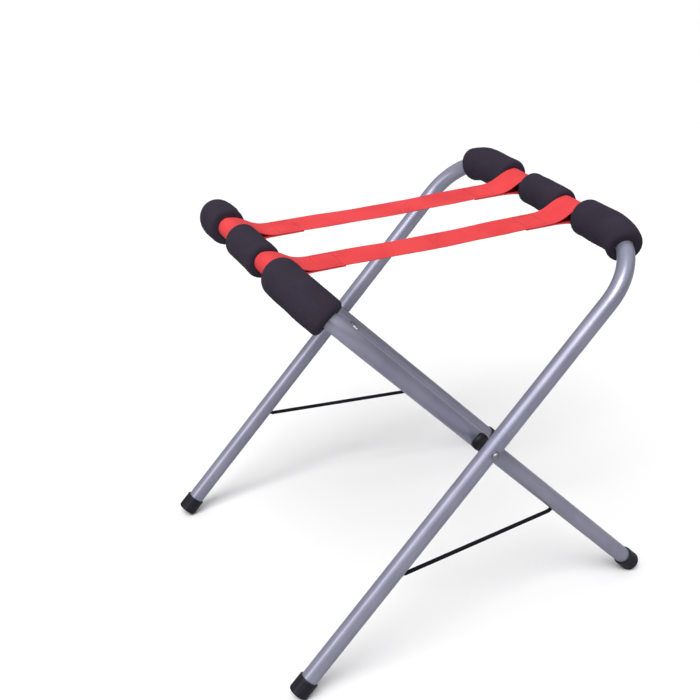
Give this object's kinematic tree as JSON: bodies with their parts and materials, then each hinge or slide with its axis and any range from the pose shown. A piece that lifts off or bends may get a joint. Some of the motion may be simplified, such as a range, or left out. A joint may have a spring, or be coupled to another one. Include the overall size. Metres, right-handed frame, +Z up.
{
  "type": "folding luggage rack",
  "caption": "Folding X-frame rack of two crossing bent tubes with foam-sleeved bars, webbing straps across the top and side limit cords.",
  "frame": {"origin": "centre of the footprint, on the floor, under the pivot axis", "axes": "+Z up; +Y along the bars and the pivot axis; +X in the fold direction, towards the outer frame's bar"},
  "size_m": [0.6164, 0.5386, 0.5999],
  "materials": {
    "frame_tube": "metallic silver paint, semi-gloss",
    "foam_sleeve": "matte closed-cell foam",
    "foot_cap": "satin moulded",
    "spacer": "moulded nylon",
    "webbing": "woven polypropylene webbing",
    "cord": "braided cord",
    "fastener": "bright zinc plating"
  },
  "bodies": {
    "outer_frame": {"outer_frame": "frame_tube", "outer_frame_near_foam": "foam_sleeve", "outer_frame_far_foam": "foam_sleeve", "outer_frame_middle_foam": "foam_sleeve", "outer_frame_near_foot": "foot_cap", "outer_frame_far_foot": "foot_cap", "near_pivot_bolt": "fastener", "near_outer_washer": "fastener", "near_outer_saddle": "spacer", "near_inner_washer": "fastener", "near_lock_nut": "fastener", "near_outer_cord_knot": "cord", "far_pivot_bolt": "fastener", "far_outer_washer": "fastener", "far_outer_saddle": "spacer", "far_inner_washer": "fastener", "far_lock_nut": "fastener", "far_outer_cord_knot": "cord"},
    "inner_frame": {"inner_frame": "frame_tube", "inner_frame_near_foam": "foam_sleeve", "inner_frame_far_foam": "foam_sleeve", "inner_frame_middle_foam": "foam_sleeve", "inner_frame_near_foot": "foot_cap", "inner_frame_far_foot": "foot_cap", "near_inner_saddle": "spacer", "far_inner_saddle": "spacer", "near_inner_cord_knot": "cord", "far_inner_cord_knot": "cord"},
    "outer_strap_loops": {"near_strap_outer_loop": "webbing", "far_strap_outer_loop": "webbing"},
    "outer_strap_ends": {"near_strap_outer_end": "webbing", "far_strap_outer_end": "webbing"},
    "inner_strap_loops": {"near_strap_inner_loop": "webbing", "far_strap_inner_loop": "webbing"},
    "inner_strap_ends": {"near_strap_inner_end": "webbing", "far_strap_inner_end": "webbing"},
    "near_outer_cord": {"near_cord_outer_run": "cord"},
    "near_outer_cord_end": {"near_cord_outer_end": "cord"},
    "near_inner_cord": {"near_cord_inner_run": "cord"},
    "near_inner_cord_end": {"near_cord_inner_end": "cord"},
    "far_outer_cord": {"far_cord_outer_run": "cord"},
    "far_outer_cord_end": {"far_cord_outer_end": "cord"},
    "far_inner_cord": {"far_cord_inner_run": "cord"},
    "far_inner_cord_end": {"far_cord_inner_end": "cord"}
  },
  "joints": [
    {"name": "fold", "type": "hinge", "parent": "outer_frame", "child": "inner_frame", "pos_m": [0, 0, 0.32187], "axis": [0, 1, 0], "range_deg": [0, 78]},
    {"name": "outer_strap_swing", "type": "hinge", "parent": "outer_frame", "child": "outer_strap_loops", "pos_m": [0.23861, 0, 0.57243], "axis": [0, 1, 0], "range_deg": [-51.92, 0], "deforming": ["near_strap_outer_loop", "far_strap_outer_loop"]},
    {"name": "outer_strap_bend", "type": "hinge", "parent": "outer_strap_loops", "child": "outer_strap_ends", "pos_m": [0.036, 0, 0.56743], "axis": [0, 1, 0], "range_deg": [0, 90.92], "deforming": ["near_strap_outer_end", "far_strap_outer_end"]},
    {"name": "inner_strap_swing", "type": "hinge", "parent": "inner_frame", "child": "inner_strap_loops", "pos_m": [-0.23861, 0, 0.57243], "axis": [0, 1, 0], "range_deg": [0, 51.92], "deforming": ["near_strap_inner_loop", "far_strap_inner_loop"]},
    {"name": "inner_strap_bend", "type": "hinge", "parent": "inner_strap_loops", "child": "inner_strap_ends", "pos_m": [-0.036, 0, 0.56743], "axis": [0, 1, 0], "range_deg": [-90.92, 0], "deforming": ["near_strap_inner_end", "far_strap_inner_end"]},
    {"name": "near_outer_cord_swing", "type": "hinge", "parent": "outer_frame", "child": "near_outer_cord", "pos_m": [-0.13316, -0.25, 0.15869], "axis": [-0.1475, 0.982, 0.1178], "range_deg": [0, 128.1], "deforming": ["near_cord_outer_run"]},
    {"name": "near_outer_cord_bend", "type": "hinge", "parent": "near_outer_cord", "child": "near_outer_cord_end", "pos_m": [-0.01978, -0.23297, 0.15869], "axis": [0.045, -0.2997, 0.953], "range_deg": [0, 90], "deforming": ["near_cord_outer_end"]},
    {"name": "near_inner_cord_swing", "type": "hinge", "parent": "inner_frame", "child": "near_inner_cord", "pos_m": [0.13316, -0.21, 0.15869], "axis": [0.1475, -0.982, 0.1178], "range_deg": [0, 128.1], "deforming": ["near_cord_inner_run"]},
    {"name": "near_inner_cord_bend", "type": "hinge", "parent": "near_inner_cord", "child": "near_inner_cord_end", "pos_m": [0.01978, -0.22703, 0.15869], "axis": [-0.045, 0.2997, 0.953], "range_deg": [0, 90], "deforming": ["near_cord_inner_end"]},
    {"name": "far_outer_cord_swing", "type": "hinge", "parent": "outer_frame", "child": "far_outer_cord", "pos_m": [-0.13316, 0.25, 0.15869], "axis": [0.1475, 0.982, -0.1178], "range_deg": [0, 128.1], "deforming": ["far_cord_outer_run"]},
    {"name": "far_outer_cord_bend", "type": "hinge", "parent": "far_outer_cord", "child": "far_outer_cord_end", "pos_m": [-0.01978, 0.23297, 0.15869], "axis": [-0.045, -0.2997, -0.953], "range_deg": [0, 90], "deforming": ["far_cord_outer_end"]},
    {"name": "far_inner_cord_swing", "type": "hinge", "parent": "inner_frame", "child": "far_inner_cord", "pos_m": [0.13316, 0.21, 0.15869], "axis": [-0.1475, -0.982, -0.1178], "range_deg": [0, 128.1], "deforming": ["far_cord_inner_run"]},
    {"name": "far_inner_cord_bend", "type": "hinge", "parent": "far_inner_cord", "child": "far_inner_cord_end", "pos_m": [0.01978, 0.22703, 0.15869], "axis": [0.045, 0.2997, -0.953], "range_deg": [0, 90], "deforming": ["far_cord_inner_end"]}
  ],
  "couplings": [
    {"joint": "outer_strap_swing", "follows": "fold", "ratio": -0.66564},
    {"joint": "outer_strap_bend", "follows": "fold", "ratio": 1.1656},
    {"joint": "inner_strap_swing", "follows": "fold", "ratio": 0.66564},
    {"joint": "inner_strap_bend", "follows": "fold", "ratio": -1.1656},
    {"joint": "near_outer_cord_swing", "follows": "fold", "ratio": 1.6423},
    {"joint": "near_outer_cord_bend", "follows": "fold", "ratio": 1.1539},
    {"joint": "near_inner_cord_swing", "follows": "fold", "ratio": 1.6423},
    {"joint": "near_inner_cord_bend", "follows": "fold", "ratio": 1.1539},
    {"joint": "far_outer_cord_swing", "follows": "fold", "ratio": 1.6423},
    {"joint": "far_outer_cord_bend", "follows": "fold", "ratio": 1.1539},
    {"joint": "far_inner_cord_swing", "follows": "fold", "ratio": 1.6423},
    {"joint": "far_inner_cord_bend", "follows": "fold", "ratio": 1.1539}
  ]
}
